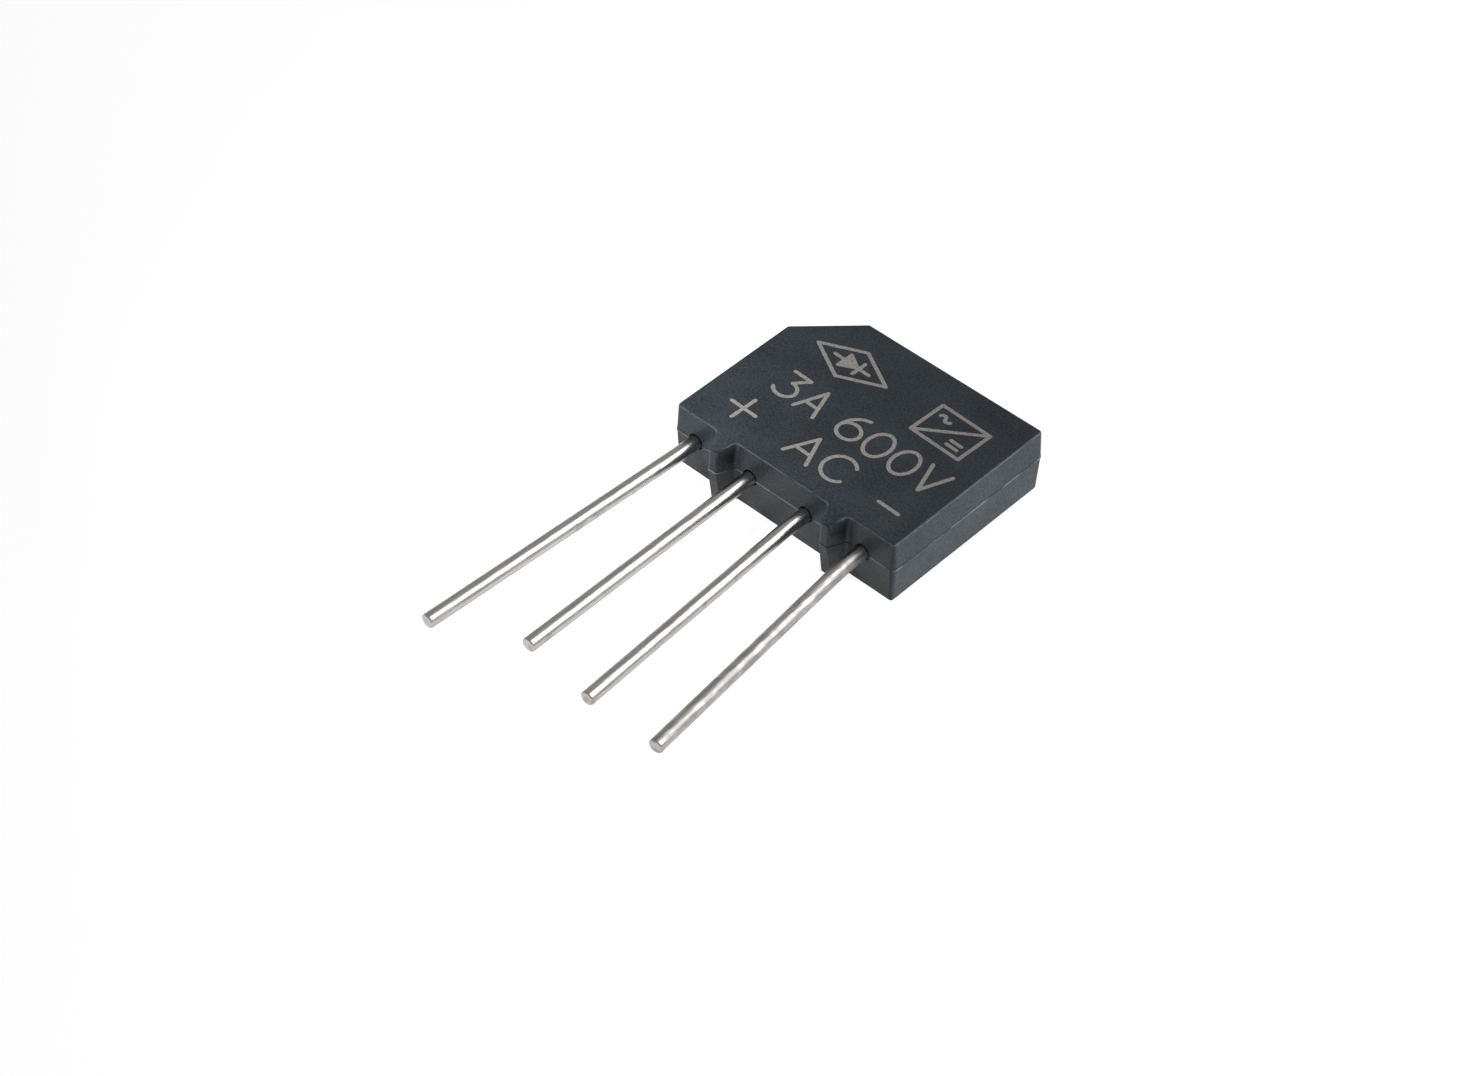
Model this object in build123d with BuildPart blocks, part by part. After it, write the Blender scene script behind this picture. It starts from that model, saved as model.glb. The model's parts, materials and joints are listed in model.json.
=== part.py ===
from build123d import *
import os
from math import cos, radians, tan

# An in-line bridge rectifier, in millimetres, as it lies on its back face with the marked face up.
# The origin is the middle of the back face. The leads point along -Y, and the bevelled corner
# with the plus lead is at -X. Inside, four diode chips are soldered between the flat ends of the leads.

os.makedirs("parts", exist_ok=True)

# Moulded body
body_width = 15.0
body_height = 11.6
body_thickness = 4.0
parting_height = 2.28
mould_draft = 3.0
corner_radius = 0.28
bevel = 3.1
edge_radius = 0.12
flash_reach = 0.02
flash_thickness = 0.06

# Standoff ribs on the lead face
rib_spacing = 7.62
rib_offset = -0.1
rib_reach = 1.0
rib_base_width = 1.42
rib_nose_width = 0.58
rib_root_radius = 0.2
rib_nose_radius = 0.2
rib_shoulder_radius = 0.3
rib_slope = 16.0
rib_foot_reach = 0.7

# Leads, from the plus lead at the bevelled corner to the minus lead
lead_pitch = 3.81
lead_row_offset = -0.3
wire_diameter = 0.82
lead_names = ("lead_positive", "lead_ac_1", "lead_ac_2", "lead_negative")
lead_reaches = (18.2, 15.9, 16.4, 16.3)
lead_spreads = (-0.67, 0.19, 0.88, 1.52)
spread_start = 1.25
spread_radius = 3.0
tip_radius = 0.1
socket_gap = 0.07
socket_depth = 0.2

# Flat inner ends of the leads
flat_thickness = 0.35
flat_width = 2.0
flat_corner_radius = 0.3
flat_overrun = 1.1
neck_length = 0.9
elbow_radius = 0.95
elbow_straight = 0.05
ac_neck_depth = 1.2
neck_clearance = 0.45
back_cover = 2.45

# Diode chips and their solder
die_size = 1.7
die_thickness = 0.22
solder_size = 1.5
solder_thickness = 0.04

# Worked out from the sizes above
front = -body_height / 2
back = body_height / 2
rise_above_parting = body_thickness - parting_height
top_inset = rise_above_parting * tan(radians(mould_draft))
rib_places = [rib_offset + side * rib_spacing / 2 for side in (-1, 1)]
lead_places = [lead_row_offset + (i - 1.5) * lead_pitch for i in range(4)]
positive_x, ac_1_x, ac_2_x, negative_x = lead_places
stack_height = die_thickness + 2 * solder_thickness
stack_floor = parting_height - stack_height / 2
stack_roof = parting_height + stack_height / 2
lower_flat = stack_floor - flat_thickness
upper_flat = stack_roof
ac_neck = front + ac_neck_depth
negative_row = ac_neck + neck_length + neck_clearance + flat_width / 2
positive_row = back - back_cover - flat_overrun
tiny = 0.001


def make_lead(i, turns, neck_start, direction, flat_end, level):
    """Lead i: round wire from its tip into the body, pressed flat between neck_start and flat_end."""
    tip = (lead_places[i] + lead_spreads[i], front - lead_reaches[i])
    root = (lead_places[i], front - spread_start)
    across = Vector(-direction.Y, direction.X)
    wire_centre = Vector(*neck_start, parting_height)
    flat_start = wire_centre + direction * neck_length
    flat_middle = level + flat_thickness / 2
    flat_length = abs((Vector(*flat_end, parting_height) - flat_start).dot(direction))

    with BuildPart() as lead:
        with BuildLine(Plane.XY.offset(parting_height)) as route:
            radii = [spread_radius] + [elbow_radius] * len(turns)
            FilletPolyline(tip, root, *turns, neck_start, radius=radii)
        centre_line = route.wires()[0]
        with BuildSketch(Plane(origin=centre_line @ 0, z_dir=centre_line % 0)):
            Circle(wire_diameter / 2)
        sweep(path=centre_line)

        with BuildSketch(Plane(origin=wire_centre, x_dir=across, z_dir=direction)):
            Circle(wire_diameter / 2)
        with BuildSketch(Plane(origin=flat_start, x_dir=across, z_dir=direction)):
            with Locations((0, flat_middle - parting_height)):
                Rectangle(flat_width, flat_thickness)
        loft()

        flat_origin = Vector(flat_start.X, flat_start.Y, level)
        with BuildSketch(Plane(origin=flat_origin, x_dir=direction, z_dir=(0, 0, 1))) as bar:
            Rectangle(flat_length, flat_width, align=(Align.MIN, Align.CENTER))
            fillet(bar.vertices().group_by(Axis.X)[-1], flat_corner_radius)
        extrude(amount=flat_thickness)

        tip_edge = lead.edges().filter_by(GeomType.CIRCLE).sort_by(Axis.Y)[0]
        fillet(tip_edge, tip_radius)
    lead.part.label = lead_names[i]
    export_step(lead.part, f"parts/{lead_names[i]}.step")
    return lead.part


def make_die_stack(name, x, y):
    """A square diode chip at a crossing of two flats, with a solder layer under and over it."""
    layers = (
        (f"solder_{name}_under", stack_floor, solder_size, solder_thickness),
        (f"die_{name}", stack_floor + solder_thickness, die_size, die_thickness),
        (f"solder_{name}_over", stack_roof - solder_thickness, solder_size, solder_thickness),
    )
    pieces = []
    for label, level, side, thickness in layers:
        with BuildPart() as layer:
            with BuildSketch(Plane.XY.offset(level)):
                with Locations((x, y)):
                    Rectangle(side, side)
            extrude(amount=thickness)
        layer.part.label = label
        export_step(layer.part, f"parts/{label}.step")
        pieces.append(layer.part)
    return pieces


# Leads. The plus and minus wires turn inside the body and run under the AC wires' flats.
to_right = Vector(1, 0)
to_left = Vector(-1, 0)
inwards = Vector(0, 1)
lead_positive = make_lead(
    0,
    turns=[(positive_x, positive_row)],
    neck_start=(positive_x + elbow_radius + elbow_straight, positive_row),
    direction=to_right,
    flat_end=(ac_2_x + flat_overrun, positive_row),
    level=lower_flat,
)
lead_ac_1 = make_lead(
    1, [], (ac_1_x, ac_neck), inwards, (ac_1_x, positive_row + flat_overrun), upper_flat
)
lead_ac_2 = make_lead(
    2, [], (ac_2_x, ac_neck), inwards, (ac_2_x, positive_row + flat_overrun), upper_flat
)
lead_negative = make_lead(
    3,
    turns=[(negative_x, negative_row)],
    neck_start=(negative_x - elbow_radius - elbow_straight, negative_row),
    direction=to_left,
    flat_end=(ac_1_x - flat_overrun, negative_row),
    level=lower_flat,
)

# Chips and solder, one stack at each crossing
stacks = []
for row_name, row in (("positive", positive_row), ("negative", negative_row)):
    for number, column in ((1, ac_1_x), (2, ac_2_x)):
        stacks += make_die_stack(f"{row_name}_{number}", column, row)

# Outline of the body at its parting line, with both ribs
with BuildSketch(Plane.XY.offset(parting_height)) as outline:
    Rectangle(body_width, body_height)
    bevel_corner = outline.vertices().group_by(Axis.X)[0].sort_by(Axis.Y)[-1]
    chamfer(bevel_corner, bevel)
    fillet(outline.vertices(), corner_radius)
    for rib_x in rib_places:
        with BuildLine():
            Polyline(
                (rib_x - rib_base_width / 2, 0),
                (rib_x - rib_base_width / 2, front),
                (rib_x - rib_nose_width / 2, front - rib_reach),
                (rib_x + rib_nose_width / 2, front - rib_reach),
                (rib_x + rib_base_width / 2, front),
                (rib_x + rib_base_width / 2, 0),
                close=True,
            )
        make_face()
    nose_corners = outline.vertices().group_by(Axis.Y)[0]
    fillet(nose_corners, rib_nose_radius)
    front_corners = outline.vertices().filter_by_position(Axis.Y, front - tiny, front + tiny)
    root_corners = front_corners.sort_by(Axis.X)[1:-1]
    fillet(root_corners, rib_root_radius)

with BuildSketch(Plane.XY.offset(parting_height)) as flash_outline:
    offset(outline.sketch_local, amount=flash_reach)


def drafted_half(height, angle):
    """One mould half of the body, from the parting line up or down, with its sides drafted."""
    with BuildPart() as half:
        extrude(outline.sketch, amount=height)
        sides = half.faces().filter_by(Axis.Z, reverse=True)
        draft(sides, Plane.XY.offset(parting_height), angle)
    return half.part


def trim_ribs(profile):
    """Takes away what lies inside a closed side profile, over the whole width of the body."""
    with BuildSketch(Plane.YZ.offset(-body_width / 2)) as side_view:
        make_face(profile.edges())
    extrude(side_view.sketch, amount=body_width, mode=Mode.SUBTRACT)


def edges_used_once(faces):
    """The outer edges of a patch of faces, without the edges that two of them share."""
    edges = [edge for face in faces for edge in face.edges()]
    return [edge for edge in edges if sum(edge.is_same(other) for other in edges) == 1]


# Side profiles of what the ribs lose: their tops slope off the marked face, and their feet draw back
top_edge_y = front + top_inset
nose_y = front - rib_reach
clear_y = front - 2 * rib_reach
with BuildLine() as above_ribs:
    shoulder = JernArc((top_edge_y, body_thickness), (-1, 0), rib_shoulder_radius, rib_slope)
    slope = PolarLine(
        shoulder @ 1, 2 * rib_reach, direction=shoulder % 1, length_mode=LengthMode.HORIZONTAL
    )
    Polyline(
        slope @ 1,
        ((slope @ 1).X, body_thickness + rib_reach),
        (top_edge_y, body_thickness + rib_reach),
        (top_edge_y, body_thickness),
    )
with BuildLine() as below_noses:
    Polyline(
        (nose_y, parting_height),
        (front - rib_foot_reach, 0),
        (clear_y, 0),
        (clear_y, parting_height),
        close=True,
    )

# Body, moulded round the leads, the chips and the solder, with a shallow ring left open round each wire
with BuildPart() as moulded_body:
    add(drafted_half(rise_above_parting, mould_draft))
    trim_ribs(above_ribs)
    top_faces = moulded_body.faces().filter_by(lambda f: f.normal_at().Z > cos(radians(2 * rib_slope)))
    fillet(edges_used_once(top_faces), edge_radius)
    add(drafted_half(-parting_height, -mould_draft))
    trim_ribs(below_noses)
    back_face = moulded_body.faces().sort_by(Axis.Z)[0]
    fillet(back_face.edges(), edge_radius)
    extrude(flash_outline.sketch, amount=flash_thickness / 2, both=True)
    for piece in (lead_positive, lead_ac_1, lead_ac_2, lead_negative, *stacks):
        add(piece, mode=Mode.SUBTRACT)
    with BuildSketch(Plane.XZ.offset(-front)):
        with Locations(*[(x, parting_height) for x in lead_places]):
            Circle(wire_diameter / 2 + socket_gap)
            Circle(wire_diameter / 2, mode=Mode.SUBTRACT)
    extrude(amount=-socket_depth, mode=Mode.SUBTRACT)
moulded_body.part.label = "moulded_body"
export_step(moulded_body.part, "parts/moulded_body.step")
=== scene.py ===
"""An in-line bridge rectifier in its moulded case, lying on its back with four tinned wire leads."""

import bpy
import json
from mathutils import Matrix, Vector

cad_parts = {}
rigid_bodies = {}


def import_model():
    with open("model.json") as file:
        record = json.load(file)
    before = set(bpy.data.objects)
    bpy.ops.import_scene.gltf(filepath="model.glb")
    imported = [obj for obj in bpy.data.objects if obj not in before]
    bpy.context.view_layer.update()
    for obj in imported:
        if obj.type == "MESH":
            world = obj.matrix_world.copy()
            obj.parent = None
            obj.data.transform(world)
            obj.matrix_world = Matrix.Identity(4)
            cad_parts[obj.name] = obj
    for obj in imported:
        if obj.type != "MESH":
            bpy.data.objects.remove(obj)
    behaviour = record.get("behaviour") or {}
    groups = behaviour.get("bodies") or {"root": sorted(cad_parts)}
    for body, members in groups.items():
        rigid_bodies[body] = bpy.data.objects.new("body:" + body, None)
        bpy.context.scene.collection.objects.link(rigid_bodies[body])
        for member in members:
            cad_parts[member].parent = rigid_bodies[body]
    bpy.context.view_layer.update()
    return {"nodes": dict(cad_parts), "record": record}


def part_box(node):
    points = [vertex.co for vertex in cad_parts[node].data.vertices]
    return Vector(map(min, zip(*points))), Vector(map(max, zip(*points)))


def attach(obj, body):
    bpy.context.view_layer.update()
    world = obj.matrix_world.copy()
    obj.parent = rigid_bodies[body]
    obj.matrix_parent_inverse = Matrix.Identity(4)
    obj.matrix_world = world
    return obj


bl_info = {
    "name": "Bridge rectifier",
    "version": (1, 0, 0),
    "blender": (4, 5, 0),
    "location": "3D View > Sidebar > Rectifier",
    "description": "Finishes a moulded bridge rectifier round its packed parts",
    "category": "Object",
}

import json
from math import atan2, cos, hypot, pi, radians, sin

import bmesh
import bpy
from bpy.props import FloatProperty, FloatVectorProperty, PointerProperty
from bpy.types import Operator, Panel, PropertyGroup
from mathutils import Matrix, Vector

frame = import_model()

MM = 0.001
FACE_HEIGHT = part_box("moulded_body")[1][2]
PARTING_HEIGHT = frame["record"]["mounts"][0]["pos_m"][2]
BRIGHT_LEADS = ("lead_positive", "lead_ac_1", "lead_ac_2")
DULL_LEAD = "lead_negative"

# Places of the marks on the face before they are turned, and their sizes, in millimetres
PLUS_CORNER, PLUS_SIZE = (-5.46, -4.62), (1.72, 1.72)
MINUS_CORNER, MINUS_SIZE = (4.88, -4.22), (1.32, 1.0)
AC_A_CORNER, AC_C_CORNER, AC_WIDTH = (-1.08, -4.48), (0.98, -4.42), 1.62
RATING, RATING_CORNER = "3A 600V", (-4.80, -1.74)
BRIDGE_CENTRE, BRIDGE_REACH = (-3.05, 2.62), (2.42, 1.24)
CONVERTER_CENTRE, CONVERTER_REACH = (3.98, 2.52), (1.62, 1.22)
WAVE_RADII = (0.19, 0.19)

# Strokes: how many sides their round parts have, and how deep a stroke is as a multiple of its rise
ARC_SIDES = 72
DOT_SIDES = 16
BAR_END_SIDES = 4
BAR_END_SHARE = 0.49
STROKE_DEPTH = 4
FLAT_ANGLE = radians(0.5)

# Lamps: direction from the object, distance and size. The small key lamp stands close by
KEY_LAMP = ((-12, -16, 21), 29 * MM, 10 * MM)
SIDE_LAMP = ((0.9, 0.3, 0.08), 300 * MM, 160 * MM)
GLOSS_PANEL = ((0.45, 0.53, 0.70), 300 * MM, 230 * MM)

# What the white floor and the room give to matt surfaces, to reflections and to the camera
FLOOR_COLOUR, FLOOR_MIRRORED, FLOOR_SEEN = 0.30, 0.48, 0.88
ROOM_LIGHT, ROOM_MIRRORED_LEFT, ROOM_MIRRORED_RIGHT, ROOM_SEEN = 0.10, 0.31, 0.40, 1.0
FLOOR_SIDES = 96

# Camera: lens and sensor in millimetres, what lies nearer or further isn't drawn,
# and how far the object stands off the middle of the picture
LENS, SENSOR_WIDTH = 80.692, 36
NEAREST, FURTHEST = 10 * MM, 10
ASIDE, BELOW = 6.513 * MM, 3.336 * MM


# Settings that a user would change

class RectifierFinish(PropertyGroup):
    compound_colour: FloatVectorProperty(
        name="Compound", description="Colour of the moulded body",
        subtype="COLOR", size=3, min=0, max=1, default=(0.020, 0.0245, 0.029),
    )
    compound_grain: FloatProperty(
        name="Grain", description="Height of the matt grain on the body",
        unit="LENGTH", precision=6, default=0.015 * MM,
    )
    tin_colour: FloatVectorProperty(
        name="Tin", description="Colour of the tinned leads",
        subtype="COLOR", size=3, min=0, max=1, default=(0.69, 0.66, 0.635),
    )
    mark_colour: FloatVectorProperty(
        name="Marks", description="Colour of the laser marks",
        subtype="COLOR", size=3, min=0, max=1, default=(0.200, 0.188, 0.177),
    )


class RectifierMarks(PropertyGroup):
    stroke_width: FloatProperty(
        name="Stroke width", description="Width of a marked line",
        unit="LENGTH", precision=6, default=0.21 * MM,
    )
    stroke_rise: FloatProperty(
        name="Rise", description="How far a marked line stands proud of the face",
        unit="LENGTH", precision=6, default=0.008 * MM,
    )
    letter_height: FloatProperty(
        name="Letter height", description="Height of letters and figures",
        unit="LENGTH", precision=6, default=1.88 * MM,
    )
    letter_width: FloatProperty(
        name="Letter width", description="Width of letters and figures",
        unit="LENGTH", precision=6, default=1.36 * MM,
    )
    letter_gap: FloatProperty(
        name="Letter gap", description="Room between two letters",
        unit="LENGTH", precision=6, default=0.42 * MM,
    )
    turn: FloatProperty(
        name="Turn", description="How far the marks are turned on the face",
        subtype="ANGLE", default=radians(-2.0),
    )


class RectifierStage(PropertyGroup):
    floor_radius: FloatProperty(
        name="Floor radius", description="Radius of the paper floor",
        unit="LENGTH", default=2.0,
    )
    key_power: FloatProperty(
        name="Key lamp", description="Power of the small lamp close by, in front and to the left",
        unit="POWER", default=0.0095,
    )
    side_power: FloatProperty(
        name="Side lamp", description="Power of the low lamp that lights the right side",
        unit="POWER", default=2.9,
    )
    gloss_power: FloatProperty(
        name="Gloss panel", description="Power of the panel that only reflections show",
        unit="POWER", default=0.4,
    )
    camera_azimuth: FloatProperty(
        name="Azimuth", description="Turn of the camera round the object",
        subtype="ANGLE", default=radians(42.69),
    )
    camera_elevation: FloatProperty(
        name="Elevation", description="Height of the camera above the floor, as an angle",
        subtype="ANGLE", default=radians(45.289),
    )
    camera_roll: FloatProperty(
        name="Roll", description="Tilt of the picture",
        subtype="ANGLE", default=radians(0.827),
    )
    camera_distance: FloatProperty(
        name="Distance", description="From the middle of the back face to the camera",
        unit="LENGTH", default=170 * MM,
    )


# Helpers for node materials

def new_material(name):
    """A node material, with its tree and its shader."""
    material = bpy.data.materials.new(name)
    material.use_nodes = True
    tree = material.node_tree
    return material, tree, tree.nodes["Principled BSDF"]


def add_node(tree, kind, values=None, **settings):
    """A node of one kind, with its settings and the values of its inputs."""
    node = tree.nodes.new(kind)
    for key, value in settings.items():
        setattr(node, key, value)
    for key, value in (values or {}).items():
        node.inputs[key].default_value = value
    return node


def grey(value):
    return (value, value, value, 1.0)


def shade(rgb, factor):
    """A colour made lighter or darker by one factor."""
    return (*(channel * factor for channel in rgb), 1.0)


def object_noise(tree, scale, detail=3.0, roughness=0.55, stretch=(1, 1, 1), shift=(0, 0, 0)):
    """Noise in object coordinates. Scale is in cells per millimetre."""
    place = add_node(tree, "ShaderNodeTexCoord")
    cells = Vector(stretch) * scale / MM
    mapping = add_node(tree, "ShaderNodeMapping", {"Scale": cells, "Location": shift})
    noise = add_node(
        tree, "ShaderNodeTexNoise",
        {"Scale": 1.0, "Detail": detail, "Roughness": roughness},
    )
    tree.links.new(place.outputs["Object"], mapping.inputs["Vector"])
    tree.links.new(mapping.outputs["Vector"], noise.inputs["Vector"])
    return noise.outputs["Fac"]


def ramp(tree, source, *stops):
    """A colour ramp over a source, from (position, colour) stops."""
    node = add_node(tree, "ShaderNodeValToRGB")
    elements = node.color_ramp.elements
    while len(elements) < len(stops):
        elements.new(0.5)
    for element, (position, value) in zip(elements, stops):
        element.position = position
        element.color = value
    tree.links.new(source, node.inputs["Fac"])
    return node.outputs["Color"]


def calculate(tree, operation, first, second):
    """A Math node of two inputs. Each is a socket or a number."""
    node = add_node(tree, "ShaderNodeMath", operation=operation)
    for index, value in enumerate((first, second)):
        if isinstance(value, (int, float)):
            node.inputs[index].default_value = value
        else:
            tree.links.new(value, node.inputs[index])
    return node.outputs["Value"]


def fade(tree, source, start, end, low=0.0, high=1.0):
    """A smooth change from low at start to high at end."""
    node = add_node(
        tree, "ShaderNodeMapRange",
        {"From Min": start, "From Max": end, "To Min": low, "To Max": high},
        interpolation_type="SMOOTHSTEP",
    )
    tree.links.new(source, node.inputs["Value"])
    return node.outputs["Result"]


def blend_colours(tree, factor, first, second):
    """Mixes two colours. Each is a socket or a colour."""
    node = add_node(tree, "ShaderNodeMix", data_type="RGBA")
    tree.links.new(factor, node.inputs["Factor"])
    for socket, value in ((node.inputs["A"], first), (node.inputs["B"], second)):
        if isinstance(value, tuple):
            socket.default_value = value
        else:
            tree.links.new(value, socket)
    return node.outputs["Result"]


def add_bump(tree, shader, height, depth):
    """Bump from a height socket. Depth is the full height in metres."""
    bump = add_node(tree, "ShaderNodeBump", {"Strength": 1.0, "Distance": depth})
    tree.links.new(height, bump.inputs["Height"])
    tree.links.new(bump.outputs["Normal"], shader.inputs["Normal"])


# Finishes

def moulding_compound(finish):
    """Black epoxy compound: matt grain, a painted highlight on the edges round the marked face, and a
    light line where the mould halves met, partly painted highlight.
    """
    material, tree, shader = new_material("moulding_compound")
    base = finish.compound_colour
    cloud = object_noise(tree, 0.3, detail=4.0)
    speckle = object_noise(tree, 8.0, detail=2.0, roughness=0.7)
    fine = calculate(tree, "MULTIPLY", speckle, 0.7)
    coarse = calculate(tree, "MULTIPLY", cloud, 0.3)
    tone = calculate(tree, "ADD", fine, coarse)
    body = ramp(tree, tone, (0.36, shade(base, 0.42)), (0.64, shade(base, 1.6)))

    place = add_node(tree, "ShaderNodeTexCoord")
    split_place = add_node(tree, "ShaderNodeSeparateXYZ")
    split_normal = add_node(tree, "ShaderNodeSeparateXYZ")
    tree.links.new(place.outputs["Object"], split_place.inputs["Vector"])
    tree.links.new(place.outputs["Normal"], split_normal.inputs["Vector"])
    height = split_place.outputs["Z"]
    upward = split_normal.outputs["Z"]

    # Painted highlight on the rounded edges round the marked face, lighter in patches
    highlight_starts, highlight_full = FACE_HEIGHT - 0.22 * MM, FACE_HEIGHT - 0.12 * MM
    near_face = fade(tree, height, highlight_starts, highlight_full)
    off_the_sides = fade(tree, upward, 0.15, 0.5)
    off_the_face = fade(tree, upward, 0.86, 0.72)
    leaning = calculate(tree, "MULTIPLY", off_the_sides, off_the_face)
    patches = fade(tree, object_noise(tree, 1.4, detail=3.0), 0.34, 0.6, 0.25, 1.0)
    on_edges = calculate(tree, "MULTIPLY", near_face, leaning)
    edge_highlight = calculate(tree, "MULTIPLY", on_edges, patches)
    # The lighter grey on these edges is a painted highlight
    edge_highlight_tone = grey(0.075)
    body = blend_colours(tree, edge_highlight, body, edge_highlight_tone)

    # Light line at mid thickness, broken here and there: partly whitened flash, partly a painted
    # highlight where the flash catches light
    line_ends, line_full = 0.05 * MM, 0.03 * MM
    above_line = calculate(tree, "SUBTRACT", height, PARTING_HEIGHT)
    distance = calculate(tree, "ABSOLUTE", above_line, 0.0)
    on_line = fade(tree, distance, line_ends, line_full)
    gaps = object_noise(tree, 0.8, detail=4.0, shift=(3, 7, 1))
    broken = fade(tree, gaps, 0.42, 0.58, 0.05, 1.0)
    line = calculate(tree, "MULTIPLY", on_line, broken)
    flash_and_highlight_tone = grey(0.15)
    body = blend_colours(tree, line, body, flash_and_highlight_tone)
    tree.links.new(body, shader.inputs["Base Color"])

    # Dull gloss, a little blue
    gloss = object_noise(tree, 5.0, detail=3.0)
    tree.links.new(fade(tree, gloss, 0.3, 0.7, 0.30, 0.40), shader.inputs["Roughness"])
    shader.inputs["Specular IOR Level"].default_value = 0.38
    shader.inputs["Specular Tint"].default_value = (0.86, 0.94, 1.0, 1.0)
    add_bump(tree, shader, object_noise(tree, 9.0, detail=2.0, roughness=0.6), finish.compound_grain)
    return material


def tinned_wire(name, tin, roughness_low, roughness_high, blotches, dents):
    """Dipped tin over copper wire, drawn lengthwise, with patches where the dip is uneven."""
    material, tree, shader = new_material(name)
    streaks = object_noise(tree, 9.0, detail=3.0, stretch=(1, 0.05, 1))
    patches = object_noise(tree, 1.6, detail=4.0, stretch=(1, 0.6, 1))
    drawn = ramp(tree, streaks, (0.3, shade(tin, 0.86)), (0.7, shade(tin, 1.08)))
    dull = fade(tree, patches, 0.62 - blotches, 0.72 - blotches / 2)
    tinted = blend_colours(tree, dull, drawn, shade(tin, 0.72))
    tree.links.new(tinted, shader.inputs["Base Color"])
    shader.inputs["Metallic"].default_value = 1.0
    spread = calculate(tree, "ADD", streaks, calculate(tree, "MULTIPLY", dull, 0.4))
    roughness = fade(tree, spread, 0.3, 1.0, roughness_low, roughness_high)
    tree.links.new(roughness, shader.inputs["Roughness"])
    uneven = calculate(tree, "ADD", streaks, calculate(tree, "MULTIPLY", patches, blotches * 4))
    add_bump(tree, shader, uneven, dents)
    return material


def plain_silicon():
    """Grey lapped silicon."""
    material, tree, shader = new_material("silicon")
    grain = ramp(tree, object_noise(tree, 20.0), (0.3, grey(0.10)), (0.7, grey(0.14)))
    tree.links.new(grain, shader.inputs["Base Color"])
    shader.inputs["Metallic"].default_value = 0.6
    shader.inputs["Roughness"].default_value = 0.3
    return material


def solder_metal():
    """Matt grey solder."""
    material, tree, shader = new_material("solder")
    grain = ramp(tree, object_noise(tree, 12.0), (0.3, grey(0.42)), (0.7, grey(0.55)))
    tree.links.new(grain, shader.inputs["Base Color"])
    shader.inputs["Metallic"].default_value = 1.0
    shader.inputs["Roughness"].default_value = 0.45
    return material


def laser_mark(finish):
    """Compound bleached by a laser, in fine uneven dots."""
    material, tree, shader = new_material("laser_mark")
    dots = object_noise(tree, 9.0, detail=2.0, roughness=0.7)
    dark_dots = (0.36, shade(finish.mark_colour, 0.74))
    light_dots = (0.6, shade(finish.mark_colour, 1.16))
    tree.links.new(ramp(tree, dots, dark_dots, light_dots), shader.inputs["Base Color"])
    shader.inputs["Roughness"].default_value = 0.75
    shader.inputs["Specular IOR Level"].default_value = 0.3
    add_bump(tree, shader, dots, 0.01 * MM)
    return material


def white_paper():
    """White paper that keeps a shadow. The camera sees it white, and reflections show it darker."""
    material, tree, shader = new_material("white_paper")
    shader.inputs["Base Color"].default_value = grey(FLOOR_COLOUR)
    shader.inputs["Roughness"].default_value = 0.9
    shader.inputs["Specular IOR Level"].default_value = 0.0
    rays = add_node(tree, "ShaderNodeLightPath")
    glossy, through = rays.outputs["Is Glossy Ray"], rays.outputs["Is Transmission Ray"]
    mirrored = calculate(tree, "MAXIMUM", glossy, through)
    to_camera = calculate(tree, "MULTIPLY", rays.outputs["Is Camera Ray"], FLOOR_SEEN)
    to_mirrors = calculate(tree, "MULTIPLY", mirrored, FLOOR_MIRRORED)
    shown = calculate(tree, "MAXIMUM", to_camera, to_mirrors)
    shader.inputs["Emission Color"].default_value = grey(1.0)
    tree.links.new(shown, shader.inputs["Emission Strength"])
    return material


def give_finish(node_names, material):
    """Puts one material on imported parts, by name."""
    for name in node_names:
        mesh = frame["nodes"][name].data
        mesh.materials.clear()
        mesh.materials.append(material)


# Marks, drawn with a round pen in millimetres on a flat sheet and then set on the face

def deselect_all():
    if bpy.context.mode != "OBJECT":
        bpy.ops.object.mode_set(mode="OBJECT")
    bpy.ops.object.select_all(action="DESELECT")


def edit_mesh():
    return bmesh.from_edit_mesh(bpy.context.edit_object.data)


def update_mesh():
    bmesh.update_edit_mesh(bpy.context.edit_object.data)


def thicken(thickness):
    """Makes a closed slab of the selected flat faces."""
    bpy.ops.mesh.extrude_region_move(TRANSFORM_OT_translate={"value": (0, 0, thickness)})


def draw_bar(start, end, width, thickness):
    """A straight stroke with round ends."""
    length = hypot(end[0] - start[0], end[1] - start[1]) + width
    middle = ((start[0] + end[0]) / 2, (start[1] + end[1]) / 2, 0)
    angle = atan2(end[1] - start[1], end[0] - start[0])
    bpy.ops.mesh.primitive_plane_add(size=1, location=middle)
    bpy.ops.transform.resize(value=(length, width, 1), center_override=middle)
    bpy.ops.mesh.bevel(affect="VERTICES", offset=width * BAR_END_SHARE, segments=BAR_END_SIDES)
    mesh = edit_mesh()
    chosen = [vertex for vertex in mesh.verts if vertex.select]
    bmesh.ops.rotate(mesh, verts=chosen, cent=middle, matrix=Matrix.Rotation(angle, 3, "Z"))
    update_mesh()
    bpy.ops.mesh.select_linked()
    thicken(thickness)


def draw_dot(centre, width, thickness):
    """The round end of a curved stroke."""
    bpy.ops.mesh.primitive_circle_add(
        vertices=DOT_SIDES, radius=width / 2, fill_type="NGON", location=(*centre, 0),
    )
    thicken(thickness)


def on_ellipse(centre, radii, degrees):
    angle = radians(degrees)
    return (centre[0] + radii[0] * cos(angle), centre[1] + radii[1] * sin(angle))


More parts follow.
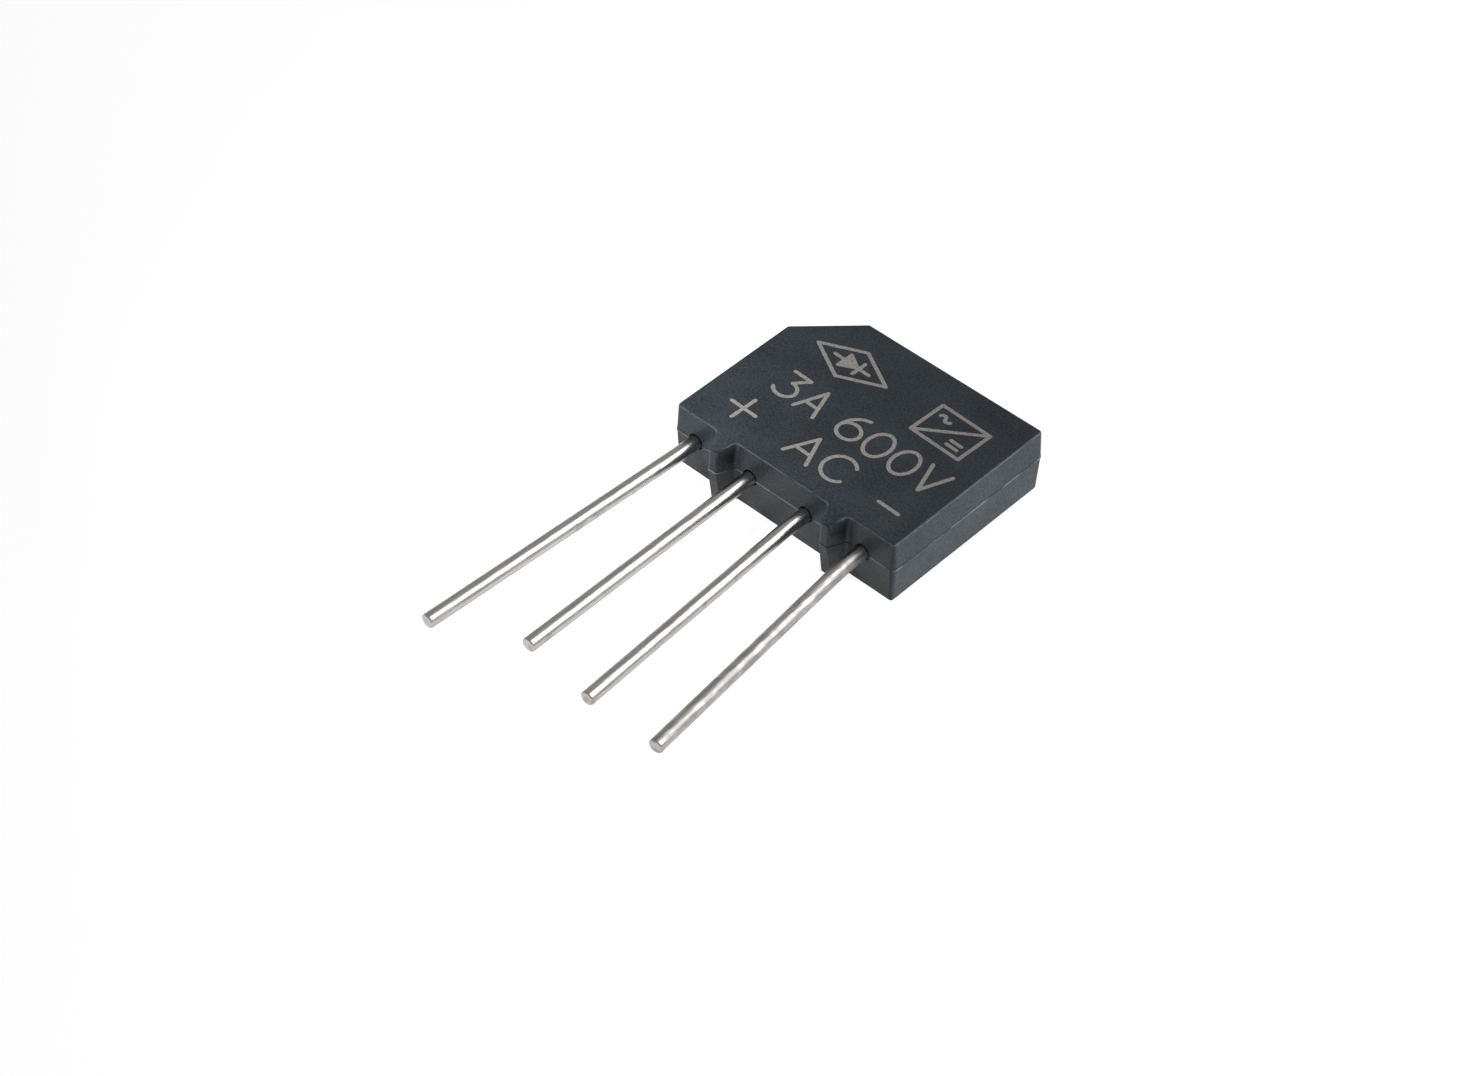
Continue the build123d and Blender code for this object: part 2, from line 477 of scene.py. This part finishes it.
def draw_arc(centre, radii, first, last, width, thickness):
    """A stroke anticlockwise along part of an ellipse, between two angles in degrees."""
    middle = (*centre, 0)
    outer = [radius + width / 2 for radius in radii]
    shrink = [1 - width / radius for radius in outer]
    bpy.ops.mesh.primitive_circle_add(
        vertices=ARC_SIDES, radius=1, fill_type="NOTHING", location=middle,
    )
    bpy.ops.transform.resize(value=(*outer, 1), center_override=middle)
    bpy.ops.mesh.extrude_region_move()
    bpy.ops.transform.resize(value=(*shrink, 1), center_override=middle)
    bpy.ops.mesh.select_linked()
    if last - first < 360:
        mesh = edit_mesh()
        unwanted = []
        for face in mesh.faces:
            if face.select:
                place = face.calc_center_median()
                angle = atan2((place.y - centre[1]) / radii[1], (place.x - centre[0]) / radii[0])
                if (angle * 180 / pi - first) % 360 > last - first:
                    unwanted.append(face)
        bmesh.ops.delete(mesh, geom=unwanted, context="FACES")
        update_mesh()
    thicken(thickness)
    if last - first < 360:
        for angle in (first, last):
            draw_dot(on_ellipse(centre, radii, angle), width, thickness)


# Letters and figures as strokes in a box of width 1 and height 1
GLYPHS = {
    "A": (("bar", (0, 0), (0.5, 1)), ("bar", (0.5, 1), (1, 0)), ("bar", (0.18, 0.34), (0.82, 0.34))),
    "C": (("arc", (0.56, 0.5), (0.56, 0.5), 42, 318),),
    "V": (("bar", (0, 1), (0.5, 0)), ("bar", (0.5, 0), (1, 1))),
    "0": (("arc", (0.5, 0.5), (0.5, 0.5), 0, 360),),
    "3": (
        ("bar", (0.06, 1), (0.92, 1)),
        ("bar", (0.92, 1), (0.46, 0.6)),
        ("arc", (0.46, 0.3), (0.5, 0.3), -150, 90),
    ),
    "6": (("arc", (0.5, 0.32), (0.5, 0.32), 0, 360), ("arc", (0.92, 0.32), (0.92, 0.7), 100, 180)),
    "+": (("bar", (0, 0.5), (1, 0.5)), ("bar", (0.5, 0), (0.5, 1))),
    "-": (("bar", (0, 0.5), (1, 0.5)),),
}


class MarkSheet:
    """A flat sheet of strokes that becomes one thin piece on the marked face."""

    def __init__(self, name, pen):
        self.pen = pen
        self.width = pen.stroke_width / MM
        self.thickness = STROKE_DEPTH * pen.stroke_rise / MM
        deselect_all()
        bpy.ops.mesh.primitive_plane_add(size=1)
        self.piece = bpy.context.object
        self.piece.name = name
        self.piece.data.name = name
        bpy.ops.object.mode_set(mode="EDIT")
        bpy.ops.mesh.delete(type="VERT")

    def bar(self, start, end):
        draw_bar(start, end, self.width, self.thickness)

    def lines(self, *points):
        for start, end in zip(points, points[1:]):
            self.bar(start, end)

    def arc(self, centre, radii, first, last):
        draw_arc(centre, radii, first, last, self.width, self.thickness)

    def glyph(self, letter, corner, size):
        """One letter in a box, from its lower left corner."""
        def place(point):
            return (corner[0] + point[0] * size[0], corner[1] + point[1] * size[1])

        for kind, first, second, *angles in GLYPHS[letter]:
            if kind == "bar":
                self.bar(place(first), place(second))
            else:
                self.arc(place(first), (second[0] * size[0], second[1] * size[1]), *angles)

    def finish(self, material):
        """Unites the strokes, turns the sheet and sets it on the marked face, mostly sunk into it."""
        bpy.ops.mesh.select_all(action="SELECT")
        bpy.ops.mesh.normals_make_consistent(inside=False)
        bpy.ops.mesh.intersect_boolean(operation="UNION", use_self=True, solver="EXACT")
        bpy.ops.mesh.select_all(action="SELECT")
        bpy.ops.mesh.dissolve_limited(angle_limit=FLAT_ANGLE)
        bpy.ops.mesh.normals_make_consistent(inside=False)
        bpy.ops.object.mode_set(mode="OBJECT")
        if not self.piece.data.polygons:
            raise RuntimeError(f"no strokes are left on {self.piece.name}")
        sunk = FACE_HEIGHT + self.pen.stroke_rise - self.thickness * MM
        place = Matrix.Translation((0, 0, sunk))
        turn = Matrix.Rotation(self.pen.turn, 4, "Z")
        self.piece.matrix_world = place @ turn @ Matrix.Scale(MM, 4)
        bpy.ops.object.transform_apply(location=True, rotation=True, scale=True)
        self.piece.data.materials.append(material)
        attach(self.piece, "root")


def mark_material():
    """The one finish that all marks share."""
    made = bpy.data.materials.get("laser_mark")
    return made or laser_mark(bpy.context.scene.rectifier_finish)


# Operators, one for each group of pieces and one for the stage

class RECTIFIER_OT_body(Operator):
    """Gives the moulded body its grained black compound"""
    bl_idname = "rectifier.body"
    bl_label = "Moulded body"

    def execute(self, context):
        give_finish(("moulded_body",), moulding_compound(context.scene.rectifier_finish))
        return {"FINISHED"}


class RECTIFIER_OT_leads(Operator):
    """Gives the four leads their dipped tin, the minus lead duller than the others"""
    bl_idname = "rectifier.leads"
    bl_label = "Leads"

    def execute(self, context):
        tin = context.scene.rectifier_finish.tin_colour
        give_finish(BRIGHT_LEADS, tinned_wire("tinned_wire", tin, 0.25, 0.35, 0.04, 0.008 * MM))
        give_finish((DULL_LEAD,), tinned_wire("tinned_wire_dull", tin, 0.30, 0.44, 0.2, 0.024 * MM))
        return {"FINISHED"}


class RECTIFIER_OT_chips(Operator):
    """Gives the diode chips and their solder layers inside the body their finishes"""
    bl_idname = "rectifier.chips"
    bl_label = "Chips and solder"

    def execute(self, context):
        names = list(frame["nodes"])
        chips = [name for name in names if name.startswith("die")]
        layers = [name for name in names if name.startswith("solder")]
        give_finish(chips, plain_silicon())
        give_finish(layers, solder_metal())
        return {"FINISHED"}


class RECTIFIER_OT_terminal_marks(Operator):
    """Marks each lead on the face: plus, AC for the two in the middle, and minus"""
    bl_idname = "rectifier.terminal_marks"
    bl_label = "Terminal marks"

    def execute(self, context):
        pen = context.scene.rectifier_marks
        material = mark_material()
        height = pen.letter_height / MM
        plus = MarkSheet("mark_plus", pen)
        plus.glyph("+", PLUS_CORNER, PLUS_SIZE)
        plus.finish(material)
        letters = MarkSheet("mark_ac", pen)
        letters.glyph("A", AC_A_CORNER, (AC_WIDTH, height))
        letters.glyph("C", AC_C_CORNER, (AC_WIDTH, height))
        letters.finish(material)
        minus = MarkSheet("mark_minus", pen)
        minus.glyph("-", MINUS_CORNER, MINUS_SIZE)
        minus.finish(material)
        return {"FINISHED"}


class RECTIFIER_OT_rating_mark(Operator):
    """Marks the current and voltage that the rectifier takes"""
    bl_idname = "rectifier.rating_mark"
    bl_label = "Rating"

    def execute(self, context):
        pen = context.scene.rectifier_marks
        size = (pen.letter_width / MM, pen.letter_height / MM)
        step = (pen.letter_width + pen.letter_gap) / MM
        sheet = MarkSheet("mark_rating", pen)
        x, y = RATING_CORNER
        for letter in RATING:
            if letter == " ":
                x += step / 2
            else:
                sheet.glyph(letter, (x, y), size)
                x += step
        sheet.finish(mark_material())
        return {"FINISHED"}


class RECTIFIER_OT_symbol_marks(Operator):
    """Marks the circuit symbols of a diode bridge and of an AC to DC converter"""
    bl_idname = "rectifier.symbol_marks"
    bl_label = "Circuit symbols"

    def execute(self, context):
        pen = context.scene.rectifier_marks
        bridge = MarkSheet("mark_bridge_symbol", pen)
        x, y = BRIDGE_CENTRE
        wide, high = BRIDGE_REACH
        bridge.lines((x - wide, y), (x, y + high), (x + wide, y), (x, y - high), (x - wide, y))
        # The arrow of the diode, then the strokes that fill it, then its bar and its two wires
        bridge.lines((x - 0.5, y + 0.52), (x + 0.4, y), (x - 0.5, y - 0.52), (x - 0.5, y + 0.52))
        bridge.lines(
            (x - 0.3, y + 0.2), (x - 0.3, y - 0.2), (x - 0.1, y - 0.08), (x - 0.1, y + 0.08),
            (x + 0.2, y),
        )
        bridge.bar((x + 0.5, y + 0.5), (x + 0.5, y - 0.5))
        bridge.bar((x - 1.2, y), (x - 0.5, y))
        bridge.bar((x + 0.5, y), (x + 1.2, y))
        bridge.finish(mark_material())

        converter = MarkSheet("mark_converter_symbol", pen)
        x, y = CONVERTER_CENTRE
        wide, high = CONVERTER_REACH
        left, right, low, top = x - wide, x + wide, y - high, y + high
        converter.lines((left, low), (right, low), (right, top), (left, top))
        converter.lines((left, top), (left, low), (right, top))
        # The wave of the AC side, then the two bars of the DC side
        converter.arc((x - 1.0, y + 0.50), WAVE_RADII, 20, 160)
        converter.arc((x - 0.64, y + 0.56), WAVE_RADII, 200, 340)
        converter.bar((x + 0.44, y - 0.42), (x + 1.12, y - 0.42))
        converter.bar((x + 0.44, y - 0.78), (x + 1.12, y - 0.78))
        converter.finish(mark_material())
        return {"FINISHED"}


class RECTIFIER_OT_stage(Operator):
    """Sets a white paper floor, soft studio light and the camera"""
    bl_idname = "rectifier.stage"
    bl_label = "Stage"

    def execute(self, context):
        settings = context.scene.rectifier_stage
        deselect_all()
        bpy.ops.mesh.primitive_circle_add(
            vertices=FLOOR_SIDES, radius=settings.floor_radius, fill_type="NGON",
        )
        floor = context.object
        floor.name = "floor"
        floor.data.materials.append(white_paper())
        self.light_world(context.scene)
        key = self.add_lamp("key_lamp", *KEY_LAMP, settings.key_power)
        key.visible_glossy = False
        side = self.add_lamp("side_lamp", *SIDE_LAMP, settings.side_power)
        side.visible_glossy = False
        panel = self.add_lamp("gloss_panel", *GLOSS_PANEL, settings.gloss_power)
        panel.visible_diffuse = False
        self.add_camera(context.scene, settings)
        context.scene.view_settings.view_transform = "Standard"
        return {"FINISHED"}

    def light_world(self, scene):
        """A grey room, lighter on the right where it shows in gloss. The camera sees it as white."""
        world = bpy.data.worlds.new("studio")
        world.use_nodes = True
        scene.world = world
        tree = world.node_tree
        place = add_node(tree, "ShaderNodeTexCoord")
        split = add_node(tree, "ShaderNodeSeparateXYZ")
        tree.links.new(place.outputs["Generated"], split.inputs["Vector"])
        rightward = fade(tree, split.outputs["X"], -0.6, 0.8)
        left, right = (0, grey(ROOM_MIRRORED_LEFT)), (1, grey(ROOM_MIRRORED_RIGHT))
        mirrored = ramp(tree, rightward, left, right)
        rays = add_node(tree, "ShaderNodeLightPath")
        room = blend_colours(tree, rays.outputs["Is Glossy Ray"], grey(ROOM_LIGHT), mirrored)
        room = blend_colours(tree, rays.outputs["Is Camera Ray"], room, grey(ROOM_SEEN))
        tree.links.new(room, tree.nodes["Background"].inputs["Color"])

    def add_lamp(self, name, direction, distance, size, power):
        """A square soft lamp that faces the object."""
        aim = Vector(direction).normalized()
        turn = aim.to_track_quat("Z", "Y").to_euler()
        bpy.ops.object.light_add(type="AREA", location=aim * distance, rotation=turn)
        lamp = bpy.context.object
        lamp.name = name
        lamp.data.shape = "SQUARE"
        lamp.data.size = size
        lamp.data.energy = power
        lamp.visible_camera = False
        return lamp

    def add_camera(self, scene, settings):
        """The camera of the photograph, from its angles round the object."""
        azimuth = settings.camera_azimuth
        elevation = settings.camera_elevation
        roll = settings.camera_roll
        back = Vector((
            sin(azimuth) * cos(elevation),
            -cos(azimuth) * cos(elevation),
            sin(elevation),
        ))
        level = Vector((cos(azimuth), sin(azimuth), 0))
        upward = back.cross(level)
        right = level * cos(roll) + upward * sin(roll)
        up = upward * cos(roll) - level * sin(roll)
        place = back * settings.camera_distance - right * ASIDE - up * BELOW
        turn = Matrix((right, up, back)).transposed().to_4x4()
        bpy.ops.object.camera_add()
        camera = bpy.context.object
        camera.data.lens = LENS
        camera.data.sensor_width = SENSOR_WIDTH
        camera.data.clip_start = NEAREST
        camera.data.clip_end = FURTHEST
        camera.matrix_world = Matrix.Translation(place) @ turn
        scene.camera = camera


STEPS = (
    RECTIFIER_OT_body,
    RECTIFIER_OT_leads,
    RECTIFIER_OT_chips,
    RECTIFIER_OT_terminal_marks,
    RECTIFIER_OT_rating_mark,
    RECTIFIER_OT_symbol_marks,
    RECTIFIER_OT_stage,
)


class RECTIFIER_PT_build(Panel):
    """Lists the steps that finish the rectifier, and their settings"""
    bl_label = "Bridge rectifier"
    bl_idname = "RECTIFIER_PT_build"
    bl_space_type = "VIEW_3D"
    bl_region_type = "UI"
    bl_category = "Rectifier"

    def draw(self, context):
        scene = context.scene
        for settings in (scene.rectifier_finish, scene.rectifier_marks, scene.rectifier_stage):
            for name in settings.__annotations__:
                self.layout.prop(settings, name)
        for step in STEPS:
            self.layout.operator(step.bl_idname)


SETTINGS = (RectifierFinish, RectifierMarks, RectifierStage)


def register():
    for cls in (*SETTINGS, *STEPS, RECTIFIER_PT_build):
        bpy.utils.register_class(cls)
    bpy.types.Scene.rectifier_finish = PointerProperty(type=RectifierFinish)
    bpy.types.Scene.rectifier_marks = PointerProperty(type=RectifierMarks)
    bpy.types.Scene.rectifier_stage = PointerProperty(type=RectifierStage)


def unregister():
    del bpy.types.Scene.rectifier_stage
    del bpy.types.Scene.rectifier_marks
    del bpy.types.Scene.rectifier_finish
    for cls in reversed((*SETTINGS, *STEPS, RECTIFIER_PT_build)):
        bpy.utils.unregister_class(cls)


def main():
    register()
    bpy.ops.rectifier.body()
    bpy.ops.rectifier.leads()
    bpy.ops.rectifier.chips()
    bpy.ops.rectifier.terminal_marks()
    bpy.ops.rectifier.rating_mark()
    bpy.ops.rectifier.symbol_marks()
    bpy.ops.rectifier.stage()


if __name__ == "__main__":
    main()
